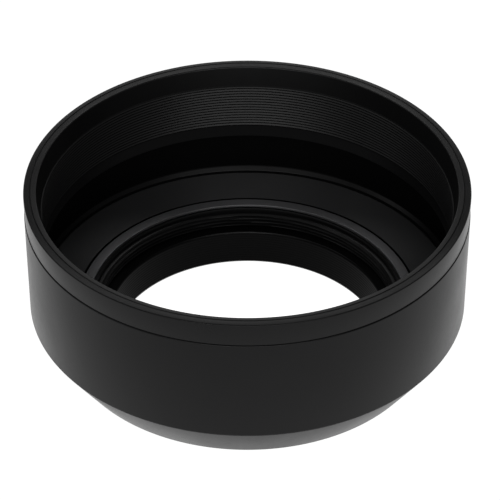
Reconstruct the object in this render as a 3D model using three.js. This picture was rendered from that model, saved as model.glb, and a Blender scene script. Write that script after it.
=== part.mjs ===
// Collapsible three-stage rubber lens hood with an M55 x 0.75 screw mount, folded to its shortest position.
// Millimetres, +Z up towards the subject. The origin is on the axis, at the rear end of the male thread.
// Every piece is a ring around Z, turned from a closed outline of [radius, height] points.

import * as THREE from 'three';

// ---- Driving dimensions ----

const FACETS = 60;                  // flats around every ring
const CLEARANCE = 0.3;              // gap between neighbouring pieces

// Screw mount
const THREAD_RADIUS = 27.5;         // outside of the M55 thread
const THREAD_PITCH = 0.75;
const THREAD_DEPTH = 0.46;
const THREAD_PLAY = 0.06;           // radial play of the female thread round the male one
const REAR_THREAD_LENGTH = 3.0;     // male thread, from the rear end to the shoulder
const REAR_THREAD_TURNS = 3;
const REAR_FIRST_CREST_Z = 0.6;
const REAR_END_RELIEF = 0.1;        // the rear edge is this much under the thread's roots
const RUN_OUT_RELIEF = 0.1;         // the run-out meets the shoulder this far outside the crests
const FRONT_THREAD_TURNS = 4;
const FRONT_FIRST_CREST_DEPTH = 0.1;  // first crest of the female thread, under the counterbore's ledge
const BORE_RADIUS_REAR = 24.9;
const BORE_RADIUS_FRONT = 25.4;
const BORE_CHAMFER = 0.35;
const LEDGE_Z = 6.5;                // floor of the female thread, around the bore
const COUNTERBORE_LEDGE_Z = 9.3;    // shallow counterbore in front of the female thread
const COUNTERBORE_RADIUS = 28.2;
const MOUNT_FACE_Z = 10.1;
const MOUNT_BODY_RADIUS = 28.7;
const FLANGE_RADIUS = 32.6;
const FLANGE_THICKNESS = 1.8;

// Clamp ring
const CLAMP_FACE_Z = 10.3;
const CLAMP_OUTER_RADIUS = 30.9;
const CLAMP_LIP_RADIUS = 32.4;
const CLAMP_LIP_TOP_Z = 8.9;
const CLAMP_LIP_BOTTOM_Z = 7.3;

// Base collar
const COLLAR_REAR_RADIUS = 33.7;
const FLOOR_OUTER_RADIUS = 38.1;
const FLOOR_OUTER_Z = 11.4;
const SEAT_INSET = 0.2;             // outer edge of the cone's top, inside the skirt's foot

// Outer skirt
const SKIRT_FOOT_Z = 11.45;
const SKIRT_FOOT_RADIUS = 39.7;
const SKIRT_TOP_RADIUS = 40.0;
const SKIRT_INNER_RADIUS = 38.9;
const SKIRT_HEEL_RADIUS = 38.2;     // inner edge of the thickened heel at the foot
const SKIRT_HEEL_TOP_Z = 12.4;
const SKIRT_EDGE = 0.4;             // bevel at the top edge; the heel has half of it

// Fold web
const WEB_THICKNESS = 0.3;
const FOLD_LINE_Z = 31.8;           // visible parting between skirt and rim

// Front tube and rim
const RIM_TOP_Z = 36.3;             // the crease where the rim's two shallow facets meet
const RIM_EDGE_Z = 36.1;            // the rim's outer and inner edges
const RIM_OUTER_RADIUS = 40.0;
const RIM_CREASE_RADIUS = 38.8;
const RIM_INNER_RADIUS = 37.7;
const RIM_NECK_RADIUS = 39.85;      // just above the fold line
const TUBE_OUTER_RADIUS = 38.05;
const TUBE_BOTTOM_Z = 20.9;
const RIB_COUNT = 15;
const RIB_PITCH = 0.6;
const RIB_BOTTOM_Z = 23.2;
const RIB_CREST_RADIUS = 36.8;
const RIB_VALLEY_RADIUS = 37.15;
const RIB_CREST_PLACE = 0.4;        // height of the crest within a pitch
const RIB_VALLEY_PLACE = 0.9;       // height of the valley above it

// ---- Materials ----

const rubber = new THREE.MeshStandardMaterial({ color: 0x1c1c1d, roughness: 0.62, metalness: 0.0 });
const blackMetal = new THREE.MeshStandardMaterial({ color: 0x141415, roughness: 0.45, metalness: 0.7 });
const satinMetal = new THREE.MeshStandardMaterial({ color: 0x2c2c2e, roughness: 0.35, metalness: 0.8 });

// Turns a closed outline, listed anticlockwise with radius to the right and height up, into a ring about Z.
function turnedRing(name, outline, material) {
  const profile = [...outline, outline[0]].map(([radius, height]) => new THREE.Vector2(radius, height));
  const geometry = new THREE.LatheGeometry(profile, FACETS);
  geometry.rotateX(Math.PI / 2);
  const ring = new THREE.Mesh(geometry, material.clone());
  ring.name = name;
  return ring;
}

// Crest and root points of an annular thread form, from the first crest's height, a signed pitch apart.
function threadForm(crestRadius, rootRadius, firstCrestZ, signedPitch, turns) {
  const points = [];
  for (let turn = 0; turn < turns; turn += 1) {
    const crestZ = firstCrestZ + turn * signedPitch;
    points.push([crestRadius, crestZ]);
    points.push([rootRadius, crestZ + signedPitch / 2]);
  }
  return points;
}

// ---- Mount ring: male thread behind, flange, body, counterbored female thread in front, bore ----

function mountRing() {
  const rootRadius = THREAD_RADIUS - THREAD_DEPTH;
  const maleThread = threadForm(THREAD_RADIUS, rootRadius, REAR_FIRST_CREST_Z, THREAD_PITCH,
    REAR_THREAD_TURNS);
  const crestRadius = rootRadius + THREAD_PLAY;
  const grooveRadius = THREAD_RADIUS + THREAD_PLAY;
  const firstCrestZ = COUNTERBORE_LEDGE_Z - FRONT_FIRST_CREST_DEPTH;
  const femaleThread = threadForm(crestRadius, grooveRadius, firstCrestZ, -THREAD_PITCH,
    FRONT_THREAD_TURNS - 1);
  const lastCrestZ = firstCrestZ - (FRONT_THREAD_TURNS - 1) * THREAD_PITCH;
  return [
    [BORE_RADIUS_REAR, 0],
    [rootRadius - REAR_END_RELIEF, 0],
    ...maleThread,
    [THREAD_RADIUS + RUN_OUT_RELIEF, REAR_THREAD_LENGTH],
    [FLANGE_RADIUS, REAR_THREAD_LENGTH],
    [FLANGE_RADIUS, REAR_THREAD_LENGTH + FLANGE_THICKNESS],
    [MOUNT_BODY_RADIUS, REAR_THREAD_LENGTH + FLANGE_THICKNESS],
    [MOUNT_BODY_RADIUS, MOUNT_FACE_Z],
    [COUNTERBORE_RADIUS, MOUNT_FACE_Z],
    [COUNTERBORE_RADIUS, COUNTERBORE_LEDGE_Z],
    [grooveRadius, COUNTERBORE_LEDGE_Z],
    ...femaleThread,
    [crestRadius, lastCrestZ],
    [crestRadius, LEDGE_Z],
    [BORE_RADIUS_FRONT + BORE_CHAMFER, LEDGE_Z],
    [BORE_RADIUS_FRONT, LEDGE_Z - BORE_CHAMFER],
  ];
}

// ---- Clamp ring: flat front face, lip hooked over the collar's bead ----

function clampRing() {
  const innerRadius = MOUNT_BODY_RADIUS + CLEARANCE;
  return [
    [innerRadius, CLAMP_LIP_BOTTOM_Z],
    [CLAMP_LIP_RADIUS, CLAMP_LIP_BOTTOM_Z],
    [CLAMP_LIP_RADIUS, CLAMP_LIP_TOP_Z],
    [CLAMP_OUTER_RADIUS, CLAMP_LIP_TOP_Z],
    [CLAMP_OUTER_RADIUS, CLAMP_FACE_Z],
    [innerRadius, CLAMP_FACE_Z],
  ];
}

// ---- Base collar: conical outside, gently dished floor, bead gripped between lip and flange ----

function baseCollar() {
  const beadRadius = MOUNT_BODY_RADIUS + CLEARANCE;
  const beadBottomZ = REAR_THREAD_LENGTH + FLANGE_THICKNESS + CLEARANCE;
  const seatZ = SKIRT_FOOT_Z - CLEARANCE;
  return [
    [FLANGE_RADIUS + CLEARANCE, REAR_THREAD_LENGTH],
    [COLLAR_REAR_RADIUS, REAR_THREAD_LENGTH],
    [SKIRT_FOOT_RADIUS - SEAT_INSET, seatZ],
    [FLOOR_OUTER_RADIUS, seatZ],
    [FLOOR_OUTER_RADIUS, FLOOR_OUTER_Z],
    [CLAMP_OUTER_RADIUS + CLEARANCE, CLAMP_FACE_Z],
    [CLAMP_OUTER_RADIUS + CLEARANCE, CLAMP_LIP_TOP_Z + CLEARANCE],
    [CLAMP_LIP_RADIUS + CLEARANCE, CLAMP_LIP_TOP_Z + CLEARANCE],
    [CLAMP_LIP_RADIUS + CLEARANCE, CLAMP_LIP_BOTTOM_Z - CLEARANCE],
    [beadRadius, CLAMP_LIP_BOTTOM_Z - CLEARANCE],
    [beadRadius, beadBottomZ],
    [FLANGE_RADIUS + CLEARANCE, beadBottomZ],
  ];
}

// ---- Outer skirt: first stage, the outer wall ----

function outerSkirt() {
  const topZ = FOLD_LINE_Z - CLEARANCE / 2;
  return [
    [SKIRT_HEEL_RADIUS, SKIRT_FOOT_Z],
    [SKIRT_FOOT_RADIUS, SKIRT_FOOT_Z],
    [SKIRT_TOP_RADIUS, topZ - SKIRT_EDGE],
    [SKIRT_TOP_RADIUS - SKIRT_EDGE / 2, topZ],
    [SKIRT_INNER_RADIUS, topZ],
    [SKIRT_INNER_RADIUS, SKIRT_HEEL_TOP_Z],
    [SKIRT_HEEL_RADIUS, SKIRT_FOOT_Z + SKIRT_EDGE / 2],
  ];
}

// ---- Fold web: middle stage, turned back between skirt and tube ----

function foldWeb() {
  const outerRadius = SKIRT_INNER_RADIUS - CLEARANCE;
  const innerRadius = outerRadius - WEB_THICKNESS;
  const topZ = FOLD_LINE_Z - CLEARANCE;
  return [
    [innerRadius, TUBE_BOTTOM_Z],
    [outerRadius, TUBE_BOTTOM_Z],
    [outerRadius, topZ],
    [innerRadius, topZ],
  ];
}

// ---- Front tube: third stage, ribbed inside, with the thick rim ----

function frontTube() {
  const underRimZ = FOLD_LINE_Z + CLEARANCE / 2;
  const ribTopZ = RIB_BOTTOM_Z + RIB_COUNT * RIB_PITCH;
  const ribs = [];
  for (let rib = RIB_COUNT - 1; rib >= 0; rib -= 1) {
    ribs.push([RIB_VALLEY_RADIUS, RIB_BOTTOM_Z + (rib + RIB_VALLEY_PLACE) * RIB_PITCH]);
    ribs.push([RIB_CREST_RADIUS, RIB_BOTTOM_Z + (rib + RIB_CREST_PLACE) * RIB_PITCH]);
  }
  return [
    [RIB_CREST_RADIUS, TUBE_BOTTOM_Z],
    [TUBE_OUTER_RADIUS, TUBE_BOTTOM_Z],
    [TUBE_OUTER_RADIUS, underRimZ],
    [RIM_NECK_RADIUS, underRimZ],
    [RIM_OUTER_RADIUS, RIM_EDGE_Z],
    [RIM_CREASE_RADIUS, RIM_TOP_Z],
    [RIM_INNER_RADIUS, RIM_EDGE_Z],
    [RIB_CREST_RADIUS, ribTopZ],
    ...ribs,
  ];
}

// ---- Assembly ----

const group = new THREE.Group();
group.name = 'lens_hood';

const rearStage = new THREE.Group();
rearStage.name = 'rear_stage';
rearStage.add(turnedRing('mount_ring', mountRing(), blackMetal));
rearStage.add(turnedRing('clamp_ring', clampRing(), satinMetal));
rearStage.add(turnedRing('base_collar', baseCollar(), rubber));
rearStage.add(turnedRing('outer_skirt', outerSkirt(), rubber));
rearStage.add(turnedRing('fold_web', foldWeb(), rubber));
group.add(rearStage);

const frontStage = new THREE.Group();
frontStage.name = 'front_stage';
frontStage.add(turnedRing('front_tube', frontTube(), rubber));
group.add(frontStage);

export default group;
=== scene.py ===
"""Collapsible rubber lens hood: fine turned meshes, procedural materials and a white studio.

Outlines are closed lists of (radius, height) corners in millimetres, anticlockwise with radius to the right, and a
third number rounds the corner. Heights count from the rear end of the male thread. Blender's own units are metres.
"""

import math

import bpy
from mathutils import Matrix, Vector


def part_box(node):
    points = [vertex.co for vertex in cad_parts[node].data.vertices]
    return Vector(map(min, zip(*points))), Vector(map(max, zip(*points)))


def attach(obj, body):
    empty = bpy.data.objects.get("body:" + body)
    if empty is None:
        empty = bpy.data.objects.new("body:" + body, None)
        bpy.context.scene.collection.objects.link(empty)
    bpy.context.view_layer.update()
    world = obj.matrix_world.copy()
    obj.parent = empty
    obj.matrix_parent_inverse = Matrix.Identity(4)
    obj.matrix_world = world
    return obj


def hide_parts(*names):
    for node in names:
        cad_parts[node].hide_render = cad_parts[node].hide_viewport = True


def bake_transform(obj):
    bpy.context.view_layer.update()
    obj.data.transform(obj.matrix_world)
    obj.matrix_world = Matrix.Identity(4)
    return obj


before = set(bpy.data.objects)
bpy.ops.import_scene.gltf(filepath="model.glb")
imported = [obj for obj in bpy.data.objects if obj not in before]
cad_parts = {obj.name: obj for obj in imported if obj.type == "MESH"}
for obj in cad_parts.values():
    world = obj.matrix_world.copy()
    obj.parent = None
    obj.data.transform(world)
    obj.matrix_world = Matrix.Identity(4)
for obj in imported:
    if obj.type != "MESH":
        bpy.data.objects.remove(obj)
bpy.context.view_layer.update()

MM = 0.001
SEGMENTS = 288          # quads round each ring
ARC_STEPS = 6           # steps round each rounded corner
SHARP_ANGLE = math.radians(38)      # edges sharper than this are shaded as creases


# ---- Sizes, in millimetres: those a CAD box shows come from the frame ----

def top_of(node):
    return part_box(node)[1].z / MM


def bottom_of(node):
    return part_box(node)[0].z / MM


def radius_of(node):
    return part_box(node)[1].y / MM


RIM_TOP = top_of("front_tube")
RIM_EDGE = RIM_TOP - 0.2
RIM_RADIUS = radius_of("front_tube")
RIM_CREASE = 38.8       # fine groove round the rim's top
CREASE_HALF_WIDTH = 0.13
CREASE_DEPTH = 0.14
RIM_NECK = RIM_RADIUS - 0.12
TUBE_BOTTOM = bottom_of("front_tube")
TUBE_OUTER = 38.05
LIP_RADIUS = 37.7
RIB_CREST = 36.8
RIB_DEPTH = 0.2
RIB_PITCH = 0.6
RIB_COUNT = 15
RIB_BOTTOM = 23.2
RIB_TOP = RIB_BOTTOM + RIB_COUNT * RIB_PITCH
RIB_UNDERCUT = 0.14     # height of a rib's hidden lower flank
RIB_BEVEL = 0.26        # height of its upper flank, which catches the light

SKIRT_TOP = top_of("outer_skirt")
SKIRT_FOOT = bottom_of("outer_skirt")
SKIRT_RADIUS = radius_of("outer_skirt")
SKIRT_FOOT_RADIUS = 39.7
SKIRT_INNER = 38.9
HEEL_RADIUS = 38.25
HEEL_TOP = 12.5
SKIRT_CHAMFER_RADIUS = SKIRT_INNER + 0.7    # the chamfer inside the skirt's top edge leaves room for the web
SKIRT_CHAMFER_FOOT = SKIRT_TOP - 0.9
FOLD_GAP = 0.1          # dark line between rim and skirt

WEB_THICKNESS = 0.34
WEB_TOP = top_of("fold_web")
WEB_UPPER_RADIUS = 38.52
WEB_LOWER_RADIUS = 38.30
WEB_CURL = TUBE_BOTTOM - 0.22       # height of the curl under the tube

SHOULDER = bottom_of("base_collar")
COLLAR_REAR_RADIUS = 33.7
COLLAR_SEAT = SKIRT_FOOT - 0.04     # the skirt's foot stands just clear of it
SHELF_EDGE_RADIUS = 38.0
SHELF_EDGE = 11.42

CLAMP_FACE = top_of("clamp_ring")
CLAMP_LIP_BOTTOM = bottom_of("clamp_ring")
CLAMP_LIP_TOP = 8.9
CLAMP_LIP_RADIUS = radius_of("clamp_ring")
CLAMP_RADIUS = 30.9
CLAMP_INNER = 29.0
CLAMP_GROOVE = 0.36     # dark groove between the clamp ring and the collar's shelf
GAP = 0.3               # room between one rubber or metal piece and the next, where nothing shows

MOUNT_FACE = top_of("mount_ring")
MOUNT_BODY = 28.7
FLANGE_RADIUS = radius_of("mount_ring")
FLANGE_TOP = 4.8
LEDGE = 6.5             # the step from the female thread down to the bore
BORE_FRONT = 25.4
BORE_REAR = 24.9
BORE_EDGE = BORE_FRONT + 0.2        # the ledge's inner edge, chamfered into the bore
BORE_GROOVE_PITCH = 0.5
BORE_GROOVE_DEPTH = 0.03
COUNTERBORE = 28.2
COUNTERBORE_LEDGE = 9.3
THREAD_MAJOR = 27.5
THREAD_MINOR = 27.04
THREAD_PITCH = 0.75
THREAD_DEPTH = THREAD_MAJOR - THREAD_MINOR
THREAD_FLAT = 0.16      # share of half a turn's pitch that is flat, on the crest and again on the root
THREAD_ROWS = 16        # rows per turn of thread
MALE_RELIEF = 0.35      # plain neck between the male thread and the shoulder
MALE_NECK = THREAD_MINOR - 0.1
FEMALE_RELIEF = THREAD_MAJOR + 0.1
FEMALE_CREST = THREAD_MINOR + 0.06


# ---- Outlines ----

def rounded(corners):
    """A closed outline with its corners rounded: each corner is (radius, height) or (radius, height, rounding)."""
    outline = []
    for i, corner in enumerate(corners):
        here = Vector(corner[:2])
        rounding = corner[2] if len(corner) > 2 else 0
        if not rounding:
            outline.append(tuple(here))
            continue
        back = (Vector(corners[i - 1][:2]) - here).normalized()
        ahead = (Vector(corners[(i + 1) % len(corners)][:2]) - here).normalized()
        half = back.angle(ahead) / 2
        centre = here + (back + ahead).normalized() * rounding / math.sin(half)
        first = here + back * rounding / math.tan(half) - centre
        last = here + ahead * rounding / math.tan(half) - centre
        start = math.atan2(first.y, first.x)
        sweep = math.remainder(math.atan2(last.y, last.x) - start, math.tau)
        for step in range(ARC_STEPS + 1):
            angle = start + sweep * step / ARC_STEPS
            outline.append((centre.x + rounding * math.cos(angle), centre.y + rounding * math.sin(angle)))
    return outline


def rounded_path(corners, spacing=0.3):
    """An open line through rounded corners, with points at most spacing apart. Its two ends have no rounding."""
    outline = rounded(corners)
    path = [outline[0]]
    for point in outline[1:]:
        start = Vector(path[-1])
        gap = Vector(point) - start
        steps = max(1, math.ceil(gap.length / spacing))
        path += [tuple(start + gap * step / steps) for step in range(1, steps + 1)]
    return path


def stations(first, last, count):
    """Evenly spaced values from first up to, but not including, last."""
    return [first + (last - first) * i / count for i in range(count)]


def turned(name, outline, shape=None):
    """A closed ring about Z with that outline. shape(radius, height, turn) moves a point's radius, turn in 0 to 1."""
    rows = len(outline)
    vertices = []
    for segment in range(SEGMENTS):
        turn = segment / SEGMENTS
        c, s = math.cos(math.tau * turn), math.sin(math.tau * turn)
        for radius, height in outline:
            r = shape(radius, height, turn) if shape else radius
            vertices.append((r * c * MM, r * s * MM, height * MM))
    faces = []
    for segment in range(SEGMENTS):
        here, there = segment * rows, (segment + 1) % SEGMENTS * rows
        for row in range(rows):
            after = (row + 1) % rows
            faces.append((here + row, there + row, there + after, here + after))
    mesh = bpy.data.meshes.new(name)
    mesh.from_pydata(vertices, [], faces)
    mesh.polygons.foreach_set("use_smooth", [True] * len(mesh.polygons))
    mesh.set_sharp_from_angle(angle=SHARP_ANGLE)
    piece = bpy.data.objects.new(name, mesh)
    bpy.context.scene.collection.objects.link(piece)
    return piece


def thread_depth(height, turn):
    """0 on a thread's crest to 1 at its root, along a right-handed helix with softened flats."""
    phase = (height / THREAD_PITCH - turn) % 1
    rise = (abs(2 * phase - 1) - THREAD_FLAT) / (1 - 2 * THREAD_FLAT)
    return 1 - min(max(rise, 0), 1)


# ---- Pieces ----

def front_tube():
    """The third stage: bevelled rim with a crease, smooth lip, and the glare ribs inside."""
    under_rim = SKIRT_TOP + FOLD_GAP
    shell = rounded([
        (RIB_CREST, TUBE_BOTTOM, 0.12),
        (TUBE_OUTER, TUBE_BOTTOM, 0.6),
        (TUBE_OUTER, under_rim, 0.1),
        (RIM_NECK, under_rim, 0.06),
        (RIM_RADIUS, RIM_EDGE, 0.22),
        (RIM_CREASE + CREASE_HALF_WIDTH, RIM_TOP, 0.03),
        (RIM_CREASE, RIM_TOP - CREASE_DEPTH, 0.04),
        (RIM_CREASE - CREASE_HALF_WIDTH, RIM_TOP, 0.03),
        (LIP_RADIUS, RIM_EDGE, 0.28),
        (RIB_CREST + 0.15, RIB_TOP + 0.3, 0.1),
    ])
    ribs = [(RIB_CREST + RIB_DEPTH, RIB_TOP, 0.03)]
    for i in reversed(range(RIB_COUNT)):
        foot = RIB_BOTTOM + i * RIB_PITCH
        ribs += [
            (RIB_CREST, foot + RIB_PITCH - RIB_BEVEL, 0.03),
            (RIB_CREST, foot + RIB_UNDERCUT, 0.02),
            (RIB_CREST + RIB_DEPTH, foot, 0.02),
        ]
    ribs = rounded(ribs + [shell[0]])[:-1]      # the shell's first point only closes the last rib
    return turned("front_tube_fine", shell + ribs)


def outer_skirt():
    """The first stage: the tall outer wall, with a heel inside its foot."""
    return turned("outer_skirt_fine", rounded([
        (HEEL_RADIUS, SKIRT_FOOT, 0.08),
        (SKIRT_FOOT_RADIUS, SKIRT_FOOT, 0.12),
        (SKIRT_RADIUS, SKIRT_TOP, 0.26),
        (SKIRT_CHAMFER_RADIUS, SKIRT_TOP, 0.05),
        (SKIRT_INNER, SKIRT_CHAMFER_FOOT, 0.4),
        (SKIRT_INNER, HEEL_TOP, 0.5),
        (HEEL_RADIUS, SKIRT_FOOT + 0.3, 0.2),
    ]))


def fold_web():
    """The middle stage: a thin sleeve that curls out over the skirt's top edge and in under the tube."""
    half = WEB_THICKNESS / 2
    middle = rounded_path([
        (TUBE_OUTER - 0.75, WEB_CURL),
        (WEB_LOWER_RADIUS, WEB_CURL, 0.6),
        (WEB_UPPER_RADIUS, WEB_TOP - 0.35, 0.5),
        (SKIRT_INNER + 0.15, SKIRT_TOP - 0.2),
    ])
    left, right = [], []
    for i, (radius, height) in enumerate(middle):
        before, after = middle[max(i - 1, 0)], middle[min(i + 1, len(middle) - 1)]
        along = (Vector(after) - Vector(before)).normalized()
        left.append((radius - half * along.y, height + half * along.x))
        right.append((radius + half * along.y, height - half * along.x))
    return turned("fold_web_fine", right + left[::-1])


def base_collar():
    """The cone outside and the shelf inside, with the hidden bead that the two metal rings grip."""
    groove = CLAMP_RADIUS + CLAMP_GROOVE
    lip = CLAMP_LIP_RADIUS + GAP
    bead = MOUNT_BODY + GAP
    return turned("base_collar_fine", rounded([
        (FLANGE_RADIUS + GAP, SHOULDER, 0.1),
        (COLLAR_REAR_RADIUS, SHOULDER, 0.35),
        (SKIRT_FOOT_RADIUS - 0.06, COLLAR_SEAT, 0.06),
        (SHELF_EDGE_RADIUS, COLLAR_SEAT),
        (SHELF_EDGE_RADIUS, SHELF_EDGE, 0.08),
        (groove, CLAMP_FACE, 0.05),
        (groove, CLAMP_LIP_TOP + GAP),
        (lip, CLAMP_LIP_TOP + GAP),
        (lip, CLAMP_LIP_BOTTOM - GAP),
        (bead, CLAMP_LIP_BOTTOM - GAP, 0.4),
        (bead, FLANGE_TOP + GAP, 0.4),
        (FLANGE_RADIUS + GAP, FLANGE_TOP + GAP),
    ]))


def clamp_ring():
    """The bright flat ring, with its hidden lip over the collar's bead."""
    return turned("clamp_ring_fine", rounded([
        (CLAMP_INNER, CLAMP_LIP_BOTTOM, 0.1),
        (CLAMP_LIP_RADIUS, CLAMP_LIP_BOTTOM, 0.2),
        (CLAMP_LIP_RADIUS, CLAMP_LIP_TOP, 0.2),
        (CLAMP_RADIUS, CLAMP_LIP_TOP),
        (CLAMP_RADIUS, CLAMP_FACE, 0.1),
        (CLAMP_INNER, CLAMP_FACE, 0.1),
    ]))


def mount_ring():
    """Male thread, flange, body, counterbore, female thread, and a tapered bore with fine grooves."""
    male_run = SHOULDER - MALE_RELIEF
    male = [(THREAD_MAJOR, z) for z in stations(0.15, male_run, int(male_run / THREAD_PITCH * THREAD_ROWS))]

    female_top, female_end = COUNTERBORE_LEDGE - 0.02, LEDGE + 0.25
    female_rows = int((female_top - female_end) / THREAD_PITCH * THREAD_ROWS)
    female = [(FEMALE_CREST, z) for z in stations(female_top, female_end, female_rows)]

    bore_top, bore_end = LEDGE - 0.5, 0.35
    per_groove = 6
    rows = round((bore_top - bore_end) / BORE_GROOVE_PITCH) * per_groove
    bore = []
    for i, z in enumerate(stations(bore_top, bore_end, rows)):
        wall = BORE_REAR + (BORE_FRONT - BORE_REAR) * z / LEDGE
        bore.append((wall + BORE_GROOVE_DEPTH * (0.5 - 0.5 * math.cos(math.tau * i / per_groove)), z))

    outline = (
        [(BORE_REAR + 0.12, 0), (THREAD_MINOR - 0.15, 0), (THREAD_MINOR - 0.08, 0.06)]
        + male
        + [(MALE_NECK, male_run + 0.03), (MALE_NECK, SHOULDER)]
        + [(FLANGE_RADIUS - 0.12, SHOULDER), (FLANGE_RADIUS, SHOULDER + 0.12)]
        + [(FLANGE_RADIUS, FLANGE_TOP - 0.1), (FLANGE_RADIUS - 0.1, FLANGE_TOP)]
        + [(MOUNT_BODY, FLANGE_TOP), (MOUNT_BODY, MOUNT_FACE - 0.06), (MOUNT_BODY - 0.06, MOUNT_FACE)]
        + [(COUNTERBORE + 0.06, MOUNT_FACE), (COUNTERBORE, MOUNT_FACE - 0.06)]
        + [(COUNTERBORE, COUNTERBORE_LEDGE), (THREAD_MAJOR + 0.12, COUNTERBORE_LEDGE)]
        + female
        + [(FEMALE_RELIEF, LEDGE + 0.26), (FEMALE_RELIEF, LEDGE)]
        + [(BORE_EDGE, LEDGE), (BORE_EDGE - 0.15, LEDGE - 0.15)]
        + bore
        + [(BORE_REAR + 0.02, 0.12)]
    )

    def cut_threads(radius, height, turn):
        """Cuts the helix into the two plain runs, and fades it in at each thread's open end."""
        depth = THREAD_DEPTH * thread_depth(height, turn)
        if radius == THREAD_MAJOR:
            return min(radius - depth, MALE_NECK + height * 0.9)
        if radius == FEMALE_CREST:
            return max(radius + depth, THREAD_MAJOR + 0.12 - (COUNTERBORE_LEDGE - height) * 1.4)
        return radius

    return turned("mount_ring_fine", outline, cut_threads)


# ---- Materials ----

RUBBER_SPECULAR = 0.14  # reflects less than glossy plastic does
QUARTER_TURN = 0.25     # in the shader's unit, whole turns


def new_material(name, base, roughness, specular, metallic=0.0):
    material = bpy.data.materials.new(name)
    material.use_nodes = True
    shader = material.node_tree.nodes["Principled BSDF"]
    shader.inputs["Base Color"].default_value = (*base, 1)
    shader.inputs["Roughness"].default_value = roughness
    shader.inputs["Specular IOR Level"].default_value = specular
    shader.inputs["Metallic"].default_value = metallic
    return material, shader


class Nodes:
    """Short names for adding and joining nodes in one material."""

    def __init__(self, material):
        self.tree = material.node_tree
        self.position = self.add("ShaderNodeTexCoord").outputs["Object"]

    def add(self, kind, **settings):
        node = self.tree.nodes.new(kind)
        for key, value in settings.items():
            setattr(node, key, value)
        return node

    def join(self, source, target):
        self.tree.links.new(source, target)

    def noise(self, scale, detail):
        node = self.add("ShaderNodeTexNoise")
        node.inputs["Scale"].default_value = scale
        node.inputs["Detail"].default_value = detail
        node.inputs["Roughness"].default_value = 0.55
        self.join(self.position, node.inputs["Vector"])
        return node.outputs["Fac"]

    def between(self, value, low, high):
        """Maps a 0.3 to 0.7 noise onto low to high."""
        node = self.add("ShaderNodeMapRange")
        node.inputs["From Min"].default_value = 0.3
        node.inputs["From Max"].default_value = 0.7
        node.inputs["To Min"].default_value = low
        node.inputs["To Max"].default_value = high
        self.join(value, node.inputs["Value"])
        return node.outputs["Result"]

    def shades(self, value, dark, light):
        """A colour from dark to light as the value goes from 0 to 1."""
        node = self.add("ShaderNodeMix", data_type="RGBA")
        node.inputs["A"].default_value = (*dark, 1)
        node.inputs["B"].default_value = (*light, 1)
        self.join(value, node.inputs["Factor"])
        return node.outputs["Result"]

    def radius(self):
        """Distance from the Z axis."""
        flat = self.add("ShaderNodeVectorMath", operation="MULTIPLY")
        flat.inputs[1].default_value = (1, 1, 0)
        self.join(self.position, flat.inputs[0])
        length = self.add("ShaderNodeVectorMath", operation="LENGTH")
        self.join(flat.outputs["Vector"], length.inputs[0])
        return length.outputs["Value"]

    def mixed(self, a, b):
        """Three parts of a to one of b."""
        node = self.add("ShaderNodeMix", data_type="FLOAT")
        node.inputs["Factor"].default_value = 0.25
        self.join(a, node.inputs["A"])
        self.join(b, node.inputs["B"])
        return node.outputs["Result"]

    def weighted_sum(self, a, b, weight):
        """a plus weight times b."""
        node = self.add("ShaderNodeMath", operation="MULTIPLY_ADD")
        node.inputs[1].default_value = weight
        self.join(b, node.inputs[0])
        self.join(a, node.inputs[2])
        return node.outputs["Value"]

    def bump(self, shader, height, distance, strength):
        node = self.add("ShaderNodeBump")
        node.inputs["Distance"].default_value = distance
        node.inputs["Strength"].default_value = strength
        self.join(height, node.inputs["Height"])
        self.join(node.outputs["Normal"], shader.inputs["Normal"])


def rubber_material(name, dark, light, smooth, rough, specular=RUBBER_SPECULAR):
    """Moulded black rubber: fine grain, faint cloudy patches of colour and gloss where it was handled."""
    material, shader = new_material(name, dark, smooth, specular)
    nodes = Nodes(material)
    clouds = nodes.noise(60, 4)
    grain = nodes.noise(5200, 2)
    pits = nodes.noise(1400, 3)
    nodes.join(nodes.shades(clouds, dark, light), shader.inputs["Base Color"])
    nodes.join(nodes.between(nodes.mixed(clouds, pits), smooth, rough), shader.inputs["Roughness"])
    nodes.bump(shader, nodes.weighted_sum(grain, pits, 0.6), 0.01 * MM, 0.4)
    return material


def black_metal_material(name, specular):
    """Turned aluminium, matte black."""
    material, shader = new_material(name, (0.003, 0.003, 0.003), 0.35, specular)
    nodes = Nodes(material)
    clouds = nodes.noise(90, 4)
    grain = nodes.noise(7000, 2)
    nodes.join(nodes.shades(clouds, (0.002, 0.002, 0.0021), (0.004, 0.004, 0.0042)), shader.inputs["Base Color"])
    nodes.join(nodes.between(clouds, 0.3, 0.4), shader.inputs["Roughness"])
    nodes.bump(shader, grain, 0.01 * MM, 0.3)
    return material


def turned_material(name, dark, light, smooth, rough, specular, metallic, stretch):
    """A surface with fine concentric tool marks: turned metal, or rubber from a turned mould.

    The marks stretch a highlight across themselves, so the tangent is turned from round the axis to outwards.
    """
    material, shader = new_material(name, dark, smooth, specular, metallic)
    nodes = Nodes(material)
    marks = nodes.add("ShaderNodeTexNoise", noise_dimensions="1D")
    marks.inputs["Scale"].default_value = 14000
    marks.inputs["Detail"].default_value = 3
    nodes.join(nodes.radius(), marks.inputs["W"])
    clouds = nodes.noise(120, 3)
    nodes.join(nodes.shades(clouds, dark, light), shader.inputs["Base Color"])
    nodes.join(nodes.between(marks.outputs["Fac"], smooth, rough), shader.inputs["Roughness"])
    nodes.bump(shader, marks.outputs["Fac"], 0.004 * MM, 0.3)
    shader.inputs["Anisotropic"].default_value = stretch
    shader.inputs["Anisotropic Rotation"].default_value = QUARTER_TURN
    tangent = nodes.add("ShaderNodeTangent", direction_type="RADIAL", axis="Z")
    nodes.join(tangent.outputs["Tangent"], shader.inputs["Tangent"])
    return material


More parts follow.
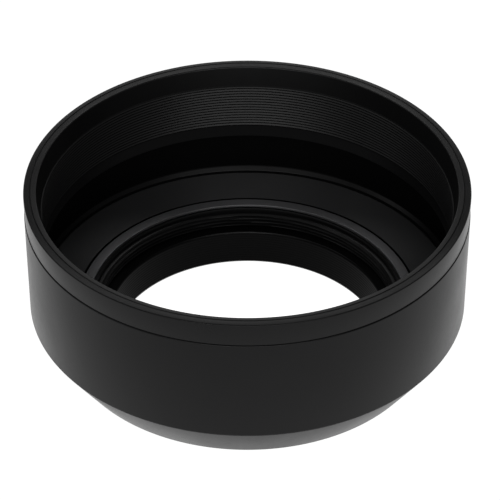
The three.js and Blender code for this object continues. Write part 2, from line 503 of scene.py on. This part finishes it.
def floor_material():
    """A white light table: pale acrylic that glows from below, with a painted shadow where the hood stands, where the
    glow is dimmed.
    """
    material, shader = new_material("pale_floor", (0.8, 0.8, 0.8), 0.9, 0.1)
    nodes = Nodes(material)
    nodes.join(nodes.shades(nodes.noise(3, 2), (0.1, 0.1, 0.1), (0.11, 0.11, 0.11)), shader.inputs["Base Color"])
    painted_shadow_glow = nodes.add("ShaderNodeMapRange")
    painted_shadow_glow.inputs["From Min"].default_value = PAINTED_SHADOW_RADIUS * MM
    painted_shadow_glow.inputs["From Max"].default_value = PAINTED_SHADOW_FADE_RADIUS * MM
    painted_shadow_glow.inputs["To Min"].default_value = PAINTED_SHADOW_GLOW_SHARE
    nodes.join(nodes.radius(), painted_shadow_glow.inputs["Value"])
    nodes.join(painted_shadow_glow.outputs["Result"], shader.inputs["Emission Color"])
    shader.inputs["Emission Strength"].default_value = FLOOR_GLOW
    return material


def card_material():
    """The bright card that closes the view through the bore."""
    material, shader = new_material("white_card", (0.8, 0.8, 0.8), 0.9, 0.1)
    nodes = Nodes(material)
    nodes.join(nodes.shades(nodes.noise(3, 2), (0.8, 0.8, 0.8), (0.82, 0.82, 0.82)), shader.inputs["Base Color"])
    shader.inputs["Emission Color"].default_value = (1, 1, 1, 1)
    shader.inputs["Emission Strength"].default_value = 1.0
    return material


# ---- Studio ----

WORLD_LIGHT = 0.16
FLOOR_GLOW = 1.0
PAINTED_SHADOW_RADIUS = 26.5      # millimetres: painted shadow inside this, glow in full beyond the next
PAINTED_SHADOW_FADE_RADIUS = 30
PAINTED_SHADOW_GLOW_SHARE = 0.2
FLOOR_REACH = 0.8
PANELS = {                  # soft panels: place, size and radiance
    "front": ((-0.1, -0.6, 1.0), (1.6, 0.35), 0.8),
    "low": ((0, -1.1, 0.52), (1.4, 0.25), 7.5),
    "back": ((0, 0.6, 1.0), (1.2, 0.35), 2.7),
    "rear": ((0, 1.1, 0.33), (2.4, 0.35), 0.7),
    "side": ((-0.9, -0.1, 0.8), (0.4, 0.8), 0.8),
}
PANEL_AIM = (0, 0, 0.02)

CAMERA_RISE = math.radians(37.4)
CAMERA_RADII = 14.65        # the camera's distance in rim radii
CAMERA_DISTANCE = CAMERA_RADII * RIM_RADIUS * MM
CAMERA_TARGET = Vector((0.48 * MM, 0, (RIM_EDGE - 0.3605 * RIM_RADIUS) * MM))
SENSOR_WIDTH = 36
RIM_SHARE = 0.4414          # the rim's radius as a share of the picture's width


def add_camera():
    data = bpy.data.cameras.new("camera")
    data.sensor_width = SENSOR_WIDTH
    data.lens = RIM_SHARE * CAMERA_RADII * SENSOR_WIDTH
    data.clip_start = 0.01
    camera = bpy.data.objects.new("camera", data)
    back = Vector((0, -math.cos(CAMERA_RISE), math.sin(CAMERA_RISE)))
    camera.location = CAMERA_TARGET + back * CAMERA_DISTANCE
    camera.rotation_euler = (-back).to_track_quat("-Z", "Y").to_euler()
    bpy.context.scene.collection.objects.link(camera)
    bpy.context.scene.camera = camera


def add_panel(name, location, size, radiance):
    """A soft panel of that radiance, facing the hood."""
    data = bpy.data.lights.new(name, "AREA")
    data.shape = "RECTANGLE"
    data.size, data.size_y = size
    data.energy = radiance * math.pi * size[0] * size[1]
    light = bpy.data.objects.new(name, data)
    light.location = location
    light.rotation_euler = (Vector(PANEL_AIM) - Vector(location)).to_track_quat("-Z", "Y").to_euler()
    bpy.context.scene.collection.objects.link(light)


def add_scenery(name, corners, material):
    """A flat face that belongs to the studio."""
    mesh = bpy.data.meshes.new(name)
    mesh.from_pydata(corners, [], [tuple(range(len(corners)))])
    mesh.materials.append(material)
    scenery = bpy.data.objects.new(name, mesh)
    bpy.context.scene.collection.objects.link(scenery)
    return scenery


def add_studio():
    scene = bpy.context.scene
    world = bpy.data.worlds.new("studio")
    world.use_nodes = True
    background = world.node_tree.nodes["Background"]
    background.inputs["Color"].default_value = (1, 1, 1, 1)
    background.inputs["Strength"].default_value = WORLD_LIGHT
    scene.world = world
    scene.view_settings.view_transform = "Standard"
    scene.view_settings.look = "None"
    scene.view_settings.exposure = 0
    for name, (location, size, radiance) in PANELS.items():
        add_panel(name, location, size, radiance)

    reach = FLOOR_REACH
    floor_corners = [(-reach, -reach, 0), (reach, -reach, 0), (reach, reach, 0), (-reach, reach, 0)]
    add_scenery("floor", floor_corners, floor_material())

    card_radius, card_height = (BORE_REAR - 0.05) * MM, 0.02 * MM
    card_edge = []
    for i in range(SEGMENTS):
        angle = math.tau * i / SEGMENTS
        card_edge.append((card_radius * math.cos(angle), card_radius * math.sin(angle), card_height))
    card = add_scenery("bore_card", card_edge, card_material())
    card.visible_diffuse = False
    card.visible_glossy = False
    card.visible_shadow = False


# ---- Assembly ----

add_camera()
add_studio()

rubber = rubber_material("moulded_rubber", (0.002, 0.002, 0.0021), (0.004, 0.004, 0.0042), 0.26, 0.38)
# a darker, rougher copy of the rubber for the lip: painted shade
painted_shade_lip_rubber = rubber_material("painted_shade_lip_rubber", (0.002, 0.002, 0.0021), (0.003, 0.003, 0.0031), 0.42, 0.52)
# a much lighter copy of the rubber, with turned marks, for the shelf: painted light
painted_light_shelf_rubber = turned_material("shelf_rubber_with_painted_light", (0.016, 0.016, 0.0165), (0.022, 0.022, 0.0228), 0.4, 0.48,
                               specular=0.28, metallic=0, stretch=0.9)
# a lighter, glossier copy of the rubber for the ribs: painted highlight
painted_highlight_rib_rubber = rubber_material("painted_highlight_rib_rubber", (0.003, 0.003, 0.0031), (0.005, 0.005, 0.0052), 0.4, 0.48, 0.26)
# a lighter, glossier copy of the rubber for the rim's inner facet: painted highlight
painted_highlight_rim_rubber = rubber_material("painted_highlight_rim_rubber", (0.003, 0.003, 0.0031), (0.005, 0.005, 0.0052), 0.28, 0.4, 0.2)
# a near-black, dull copy of the rubber for hollows and inside faces: painted shade
painted_shade_rubber = rubber_material("painted_shade_rubber", (0.001, 0.001, 0.001), (0.002, 0.002, 0.0021), 0.4, 0.5, 0.04)
black_metal = black_metal_material("matte_black_metal", 0.2)
# the same black metal, less reflective, for the ledge: painted shade
painted_shade_black_metal = black_metal_material("black_metal_painted_shade", 0.04)
satin_metal = turned_material("satin_black_metal", (0.12, 0.12, 0.124), (0.155, 0.155, 0.16), 0.34, 0.46,
                              specular=0.5, metallic=0.65, stretch=0.7)


def paint(piece, material, chosen):
    """Gives the material to the faces that chosen(radius, height, outward) picks.

    The radius and height of the face are in millimetres, and outward is the radial part of its normal.
    """
    piece.data.materials.append(material)
    for face in piece.data.polygons:
        centre = face.center / MM
        outward = face.normal.xy.dot(centre.xy.normalized())
        if chosen(centre.xy.length, centre.z, outward):
            face.material_index = len(piece.data.materials) - 1


def place(piece, node, body, material):
    """Puts the piece in the CAD node's stead. With no body it is left unattached."""
    piece.data.materials.append(material)
    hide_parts(node)
    if body:
        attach(piece, body)


mount = mount_ring()
place(mount, "mount_ring", "rear_stage", black_metal)
# the ledge between thread and bore, in a less reflective copy of the black metal: painted shade
paint(mount, painted_shade_black_metal, lambda r, z, outward: LEDGE - 0.1 < z < LEDGE + 0.3 and BORE_EDGE < r)

place(clamp_ring(), "clamp_ring", "rear_stage", satin_metal)

collar = base_collar()
place(collar, "base_collar", "rear_stage", rubber)
# the shelf, in a lighter copy of the rubber (painted light), and then the wall of the groove round the clamp ring, in
# a near-black copy (painted shade)
paint(collar, painted_light_shelf_rubber, lambda r, z, outward: z > CLAMP_LIP_TOP and r < SHELF_EDGE_RADIUS - 0.1)
paint(collar, painted_shade_rubber, lambda r, z, outward: outward < -0.5 and z > CLAMP_LIP_TOP and r < CLAMP_RADIUS + 1)

skirt = outer_skirt()
place(skirt, "outer_skirt", "rear_stage", rubber)
# the inside wall, in a near-black dull copy of the rubber: painted shade
paint(skirt, painted_shade_rubber, lambda r, z, outward: outward < -0.3 and z < SKIRT_TOP - 1 and r > SKIRT_INNER - 0.3)

tube = front_tube()
place(tube, "front_tube", "front_stage", rubber)
# the lip in a darker copy of the rubber (painted shade), the ribs in a lighter, glossier copy (painted highlight),
# the ribs' flat crests in a near-black copy (painted shade), and the rim's inner facet in a lighter, glossier copy
# (painted highlight)
paint(tube, painted_shade_lip_rubber, lambda r, z, outward: RIB_TOP + 0.2 < z < RIM_EDGE - 0.2 and r < LIP_RADIUS)
paint(tube, painted_highlight_rib_rubber, lambda r, z, outward: RIB_BOTTOM < z < RIB_TOP + 0.2 and r < RIB_CREST + RIB_DEPTH)
paint(tube, painted_shade_rubber, lambda r, z, outward: RIB_BOTTOM < z < RIB_TOP and outward < -0.9)
paint(tube, painted_highlight_rim_rubber, lambda r, z, outward: z > RIM_EDGE - 0.2
      and LIP_RADIUS - 0.1 < r < RIM_CREASE - CREASE_HALF_WIDTH)

web = fold_web()
place(web, "fold_web", None, rubber)
# the inside and the lower curl, in a near-black dull copy of the rubber: painted shade
paint(web, painted_shade_rubber, lambda r, z, outward: outward < 0 or z < TUBE_BOTTOM)
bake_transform(web)
